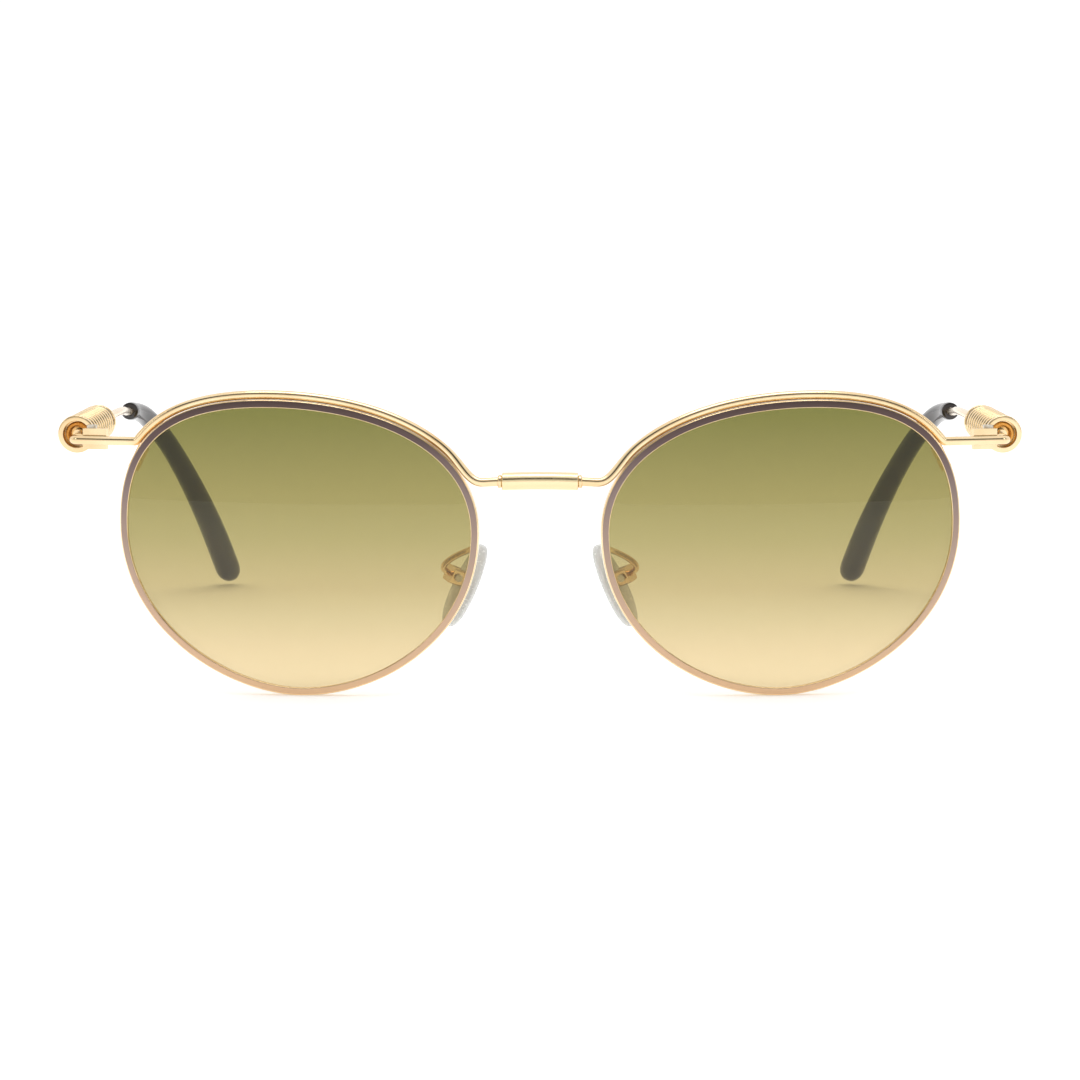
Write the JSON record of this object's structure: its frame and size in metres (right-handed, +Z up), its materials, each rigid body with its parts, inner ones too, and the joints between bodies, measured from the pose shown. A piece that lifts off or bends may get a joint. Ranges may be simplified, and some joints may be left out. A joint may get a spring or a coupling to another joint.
{
  "type": "sunglasses",
  "caption": "Round wire sunglasses with a low bridge sleeve, gradient lenses, coil-wrapped spring hinge barrels, thin temples, dark ear tips and silicone nose pads.",
  "frame": {"origin": "on the table, in the middle of the footprint of the open glasses", "axes": "+X to the wearer's left, +Y back along the temples, +Z up; the lenses face -Y"},
  "size_m": [0.1412, 0.1326, 0.0441],
  "materials": {
    "gold_plate": "polished gold plating on nickel alloy wire",
    "rim_enamel": "satin taupe enamel, dark at the top and warm gold at the bottom",
    "gradient_lens": "olive brown tint fading to pale amber at the bottom",
    "pad_silicone": "clear milky silicone, semi-gloss",
    "tip_acetate": "polished brown-black acetate",
    "screw_steel": "turned steel",
    "spring_steel": "drawn spring wire"
  },
  "bodies": {
    "front": {"bridge_collar_left": "gold_plate", "bridge_collar_right": "gold_plate", "bridge_sleeve": "gold_plate", "brow_wire": "gold_plate", "hinge_front_leaf_left": "gold_plate", "hinge_front_leaf_right": "gold_plate", "hinge_screw_left": "screw_steel", "hinge_screw_right": "screw_steel", "lens_left": "gradient_lens", "lens_right": "gradient_lens", "lock_lower_left": "gold_plate", "lock_lower_right": "gold_plate", "lock_screw_left": "screw_steel", "lock_screw_right": "screw_steel", "lock_upper_left": "gold_plate", "lock_upper_right": "gold_plate", "pad_arm_left": "gold_plate", "pad_arm_right": "gold_plate", "pad_box_left": "gold_plate", "pad_box_right": "gold_plate", "pad_screw_left": "screw_steel", "pad_screw_right": "screw_steel", "rim_left": "rim_enamel", "rim_right": "rim_enamel"},
    "hinge_arm_left": {"hinge_temple_leaf_left": "gold_plate", "barrel_nut_left": "screw_steel", "barrel_spring_left": "spring_steel"},
    "temple_left": {"hinge_barrel_left": "gold_plate", "barrel_coil_left": "gold_plate", "barrel_ferrule_left": "gold_plate", "temple_rod_left": "gold_plate", "temple_tip_left": "tip_acetate"},
    "pad_left": {"nose_pad_left": "pad_silicone"},
    "hinge_arm_right": {"hinge_temple_leaf_right": "gold_plate", "barrel_nut_right": "screw_steel", "barrel_spring_right": "spring_steel"},
    "temple_right": {"hinge_barrel_right": "gold_plate", "barrel_coil_right": "gold_plate", "barrel_ferrule_right": "gold_plate", "temple_rod_right": "gold_plate", "temple_tip_right": "tip_acetate"},
    "pad_right": {"nose_pad_right": "pad_silicone"}
  },
  "joints": [
    {"name": "temple_fold_left", "type": "hinge", "parent": "front", "child": "hinge_arm_left", "pos_m": [0.0653, -0.05495, 0.03688], "axis": [0, 0, 1], "range_deg": [0, 84]},
    {"name": "temple_spring_left", "type": "slide", "parent": "hinge_arm_left", "child": "temple_left", "axis": [-0.0802, 0.9962, 0.0332], "range_m": [0, 0.0012], "stiffness_N_per_m": 900, "springref_m": -0.0022, "deforming": ["barrel_spring_left"]},
    {"name": "pad_rock_left", "type": "hinge", "parent": "front", "child": "pad_left", "pos_m": [0.01253, -0.05558, 0.01669], "axis": [-0.4214, -0.8857, -0.1947], "range_deg": [-8, 8]},
    {"name": "temple_fold_right", "type": "hinge", "parent": "front", "child": "hinge_arm_right", "pos_m": [-0.0653, -0.05495, 0.03688], "axis": [0, 0, -1], "range_deg": [0, 70]},
    {"name": "temple_spring_right", "type": "slide", "parent": "hinge_arm_right", "child": "temple_right", "axis": [0.0802, 0.9962, 0.0332], "range_m": [0, 0.0012], "stiffness_N_per_m": 900, "springref_m": -0.0022, "deforming": ["barrel_spring_right"]},
    {"name": "pad_rock_right", "type": "hinge", "parent": "front", "child": "pad_right", "pos_m": [-0.01253, -0.05558, 0.01669], "axis": [-0.4214, 0.8857, 0.1947], "range_deg": [-8, 8]}
  ]
}
